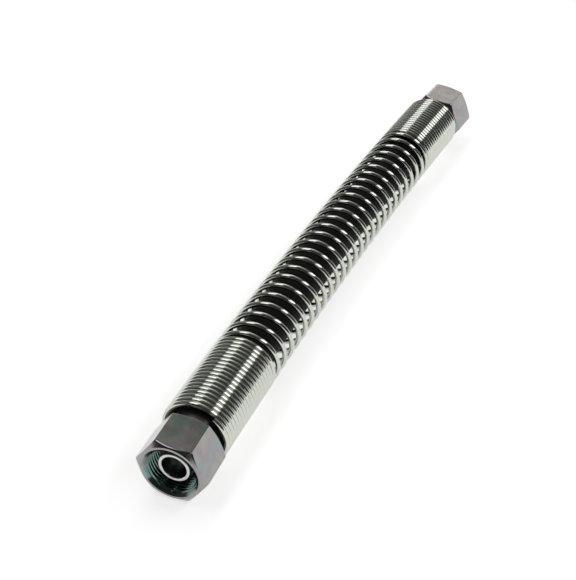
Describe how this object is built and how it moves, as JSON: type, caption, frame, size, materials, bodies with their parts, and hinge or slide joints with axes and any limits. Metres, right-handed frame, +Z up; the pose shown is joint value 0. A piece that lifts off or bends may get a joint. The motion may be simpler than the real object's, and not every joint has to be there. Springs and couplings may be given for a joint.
{
  "type": "oil cooler hose",
  "caption": "Short rubber oil hose held in a bright wire spring guard, with a hexagonal swivel union nut over a coned nose at each end.",
  "frame": {"origin": "middle of the underside of the assembly's box, on the surface that the spring guard lies on", "axes": "+X along the hose from the near end to the far end, +Y to the side that the hose bows to, +Z up"},
  "size_m": [0.3264, 0.0348, 0.0302],
  "materials": {
    "zinc_nut": "turned steel, thin clear iridescent zinc plating",
    "zinc_tail": "turned steel, clear zinc plating",
    "zinc_ferrule": "crimped steel sleeve, clear zinc plating",
    "spring_wire": "bright drawn spring wire",
    "cover_rubber": "black oil-resistant rubber cover, faint cloth-wrapped surface",
    "liner_rubber": "smooth black oil-resistant rubber",
    "braid_wire": "woven steel wire layer",
    "seal_rubber": "satin black seal rubber"
  },
  "bodies": {
    "hose": {"near_hose_tail": "zinc_tail", "near_o_ring": "seal_rubber", "near_ferrule": "zinc_ferrule", "far_hose_tail": "zinc_tail", "far_o_ring": "seal_rubber", "far_ferrule": "zinc_ferrule", "hose_liner": "liner_rubber", "hose_braid": "braid_wire", "hose_cover": "cover_rubber", "spring_guard": "spring_wire"},
    "near_nut": {"near_swivel_nut": "zinc_nut"},
    "far_nut": {"far_swivel_nut": "zinc_nut"}
  },
  "joints": [
    {"name": "near_nut_spin", "type": "hinge", "parent": "hose", "child": "near_nut", "pos_m": [-0.16249, -0.00203, 0.01453], "axis": [-0.9983, -0.0584, 0], "continuous": true},
    {"name": "far_nut_spin", "type": "hinge", "parent": "hose", "child": "far_nut", "pos_m": [0.16249, -0.00203, 0.01453], "axis": [0.9983, -0.0584, 0], "continuous": true}
  ]
}
